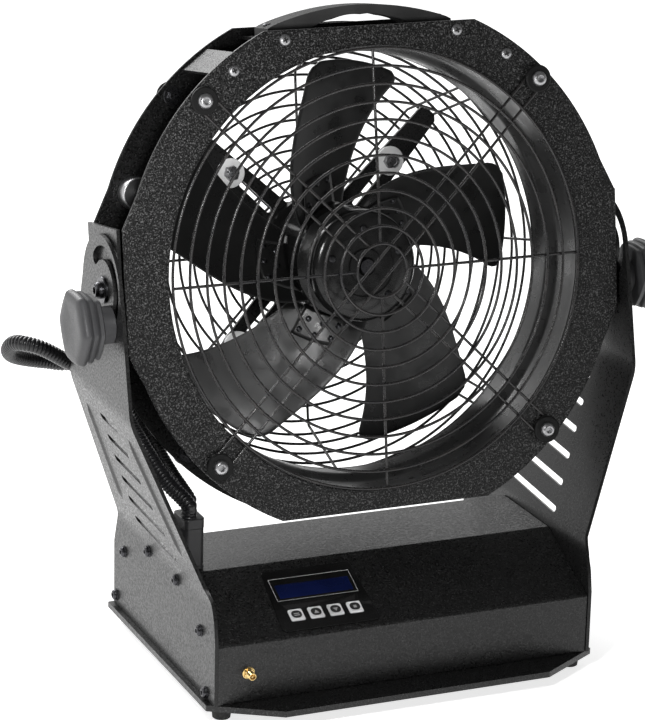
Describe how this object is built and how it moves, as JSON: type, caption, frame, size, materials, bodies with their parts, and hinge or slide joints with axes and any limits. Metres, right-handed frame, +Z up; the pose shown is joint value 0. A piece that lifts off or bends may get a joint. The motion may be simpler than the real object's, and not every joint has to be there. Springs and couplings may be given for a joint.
{
  "type": "stage fan",
  "caption": "Axial stage fan in a sheet-metal ring with wire guards, tilting on a flared yoke with clamp knobs above a control base with display and buttons.",
  "frame": {"origin": "centre of the base plate's underside; the rubber feet reach 10 mm below it", "axes": "+Z up, -Y the way the fan blows with the head level, +X to the right of someone who faces the front"},
  "size_m": [0.5252, 0.2931, 0.5455],
  "materials": {
    "black_textured_coat": "wrinkle powder coat",
    "guard_black": "semi-gloss black",
    "blade_black": "satin black",
    "motor_black": "satin black",
    "zinc_steel": "zinc plated",
    "button_silver": "satin silver",
    "grey_plastic": "moulded, matt",
    "black_plastic": "moulded, matt",
    "conduit": "corrugated nylon",
    "gloss_black": "gloss overlay",
    "lcd_glass": "display glass",
    "circuit_board": "solder mask",
    "aluminium_can": "drawn can",
    "brass": "gold plated",
    "rubber": "moulded"
  },
  "bodies": {
    "root": {"antenna_jack": "brass", "base_cover": "black_textured_coat", "base_gland": "black_plastic", "base_plate": "black_textured_coat", "control_board": "circuit_board", "display_bezel": "gloss_black", "dmx_input": "button_silver", "dmx_output": "button_silver", "drive_board": "circuit_board", "fuse_holder": "black_plastic", "lcd_module": "lcd_glass", "left_arm": "black_textured_coat", "looped_hose": "conduit", "power_inlet": "black_plastic", "power_outlet": "black_plastic", "right_arm": "black_textured_coat", "rubber_foot_1": "rubber", "rubber_foot_2": "rubber", "rubber_foot_3": "rubber", "rubber_foot_4": "rubber", "straight_hose": "conduit"},
    "fan": {"rotor_shell": "motor_black", "motor_shaft": "zinc_steel", "fan_blade_1": "blade_black", "fan_blade_2": "blade_black", "fan_blade_3": "blade_black", "fan_blade_4": "blade_black", "fan_blade_5": "blade_black"},
    "head": {"front_plate": "black_textured_coat", "rear_plate": "black_textured_coat", "duct_ring": "black_textured_coat", "top_tie_plate": "black_textured_coat", "left_tie_plate": "black_textured_coat", "right_tie_plate": "black_textured_coat", "left_side_bracket": "black_textured_coat", "right_side_bracket": "black_textured_coat", "carry_handle": "black_plastic", "front_guard": "guard_black", "rear_guard": "guard_black", "guard_bolt_1": "zinc_steel", "guard_bolt_2": "zinc_steel", "guard_bolt_3": "zinc_steel", "guard_bolt_4": "zinc_steel", "motor_bracket": "black_textured_coat", "motor_stator": "motor_black", "front_bearing": "zinc_steel", "rear_bearing": "zinc_steel", "run_capacitor": "aluminium_can", "left_pivot_bolt": "zinc_steel", "right_pivot_bolt": "zinc_steel", "left_clamp_stud": "zinc_steel", "right_clamp_stud": "zinc_steel", "head_gland_1": "black_plastic", "head_gland_2": "black_plastic"},
    "left_knob": {"left_clamp_knob": "grey_plastic"},
    "right_knob": {"right_clamp_knob": "grey_plastic"},
    "button_1": {"menu_button_1": "button_silver"},
    "button_2": {"menu_button_2": "button_silver"},
    "button_3": {"menu_button_3": "button_silver"},
    "button_4": {"menu_button_4": "button_silver"}
  },
  "joints": [
    {"name": "head_tilt", "type": "hinge", "parent": "root", "child": "head", "pos_m": [0, 0, 0.325], "axis": [-1, 0, 0], "range_deg": [-20, 190], "deforming": ["looped_hose", "straight_hose"]},
    {"name": "fan_spin", "type": "hinge", "parent": "head", "child": "fan", "pos_m": [0, 0.04845, 0.31767], "axis": [0, 0.9888, -0.1495], "continuous": true},
    {"name": "left_knob_turn", "type": "hinge", "parent": "head", "child": "left_knob", "pos_m": [-0.235, -0.01622, 0.30096], "axis": [-1, 0, 0], "range_deg": [0, 720]},
    {"name": "right_knob_turn", "type": "hinge", "parent": "head", "child": "right_knob", "pos_m": [0.235, -0.01622, 0.30096], "axis": [-1, 0, 0], "range_deg": [-720, 0]},
    {"name": "menu_button_1_press", "type": "slide", "parent": "root", "child": "button_1", "axis": [0, 0.4179, -0.9085], "range_m": [0, 0.0012], "stiffness_N_per_m": 600, "springref_m": -0.001},
    {"name": "menu_button_2_press", "type": "slide", "parent": "root", "child": "button_2", "axis": [0, 0.4179, -0.9085], "range_m": [0, 0.0012], "stiffness_N_per_m": 600, "springref_m": -0.001},
    {"name": "menu_button_3_press", "type": "slide", "parent": "root", "child": "button_3", "axis": [0, 0.4179, -0.9085], "range_m": [0, 0.0012], "stiffness_N_per_m": 600, "springref_m": -0.001},
    {"name": "menu_button_4_press", "type": "slide", "parent": "root", "child": "button_4", "axis": [0, 0.4179, -0.9085], "range_m": [0, 0.0012], "stiffness_N_per_m": 600, "springref_m": -0.001}
  ]
}
